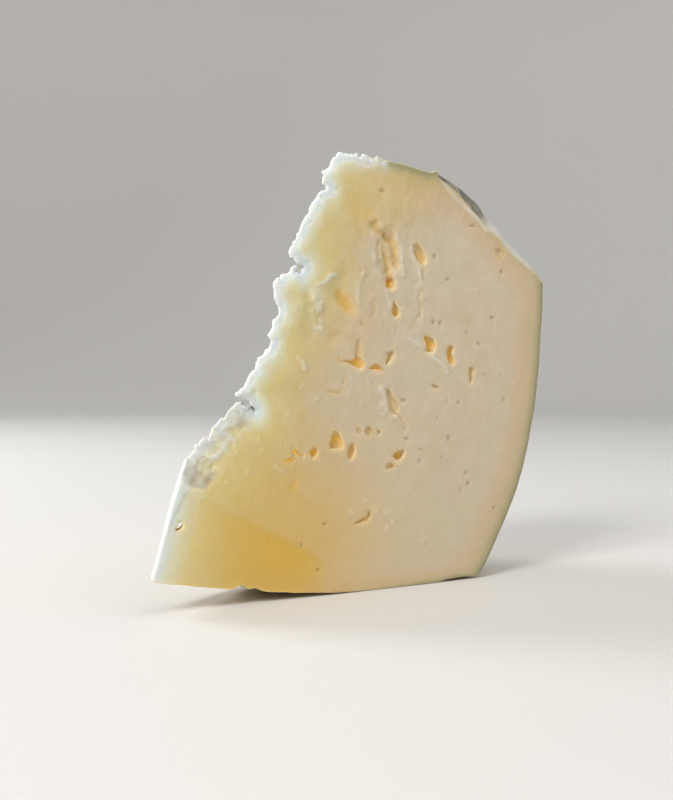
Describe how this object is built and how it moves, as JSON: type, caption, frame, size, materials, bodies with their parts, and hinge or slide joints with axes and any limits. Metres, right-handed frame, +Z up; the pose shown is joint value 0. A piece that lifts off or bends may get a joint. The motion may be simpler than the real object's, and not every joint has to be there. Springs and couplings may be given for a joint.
{
  "type": "cheese wedge",
  "caption": "Wedge of semi-hard cheese from a small wheel, with small irregular eyes in its cut faces, a curved rim, a pared shoulder and a broken thin tip.",
  "frame": {"origin": "under the middle of the wedge's bounding box, on the surface it rests on", "axes": "+Z up, +X from the thin tip to the rim along the front cut face, -Y out of the front cut face"},
  "size_m": [0.1086, 0.0494, 0.105],
  "materials": {
    "cheese_paste": "cut semi-hard cheese: smooth, slightly greasy and translucent, golden where it is thin"
  },
  "bodies": {
    "root": {"cheese_wedge": "cheese_paste"}
  },
  "joints": []
}
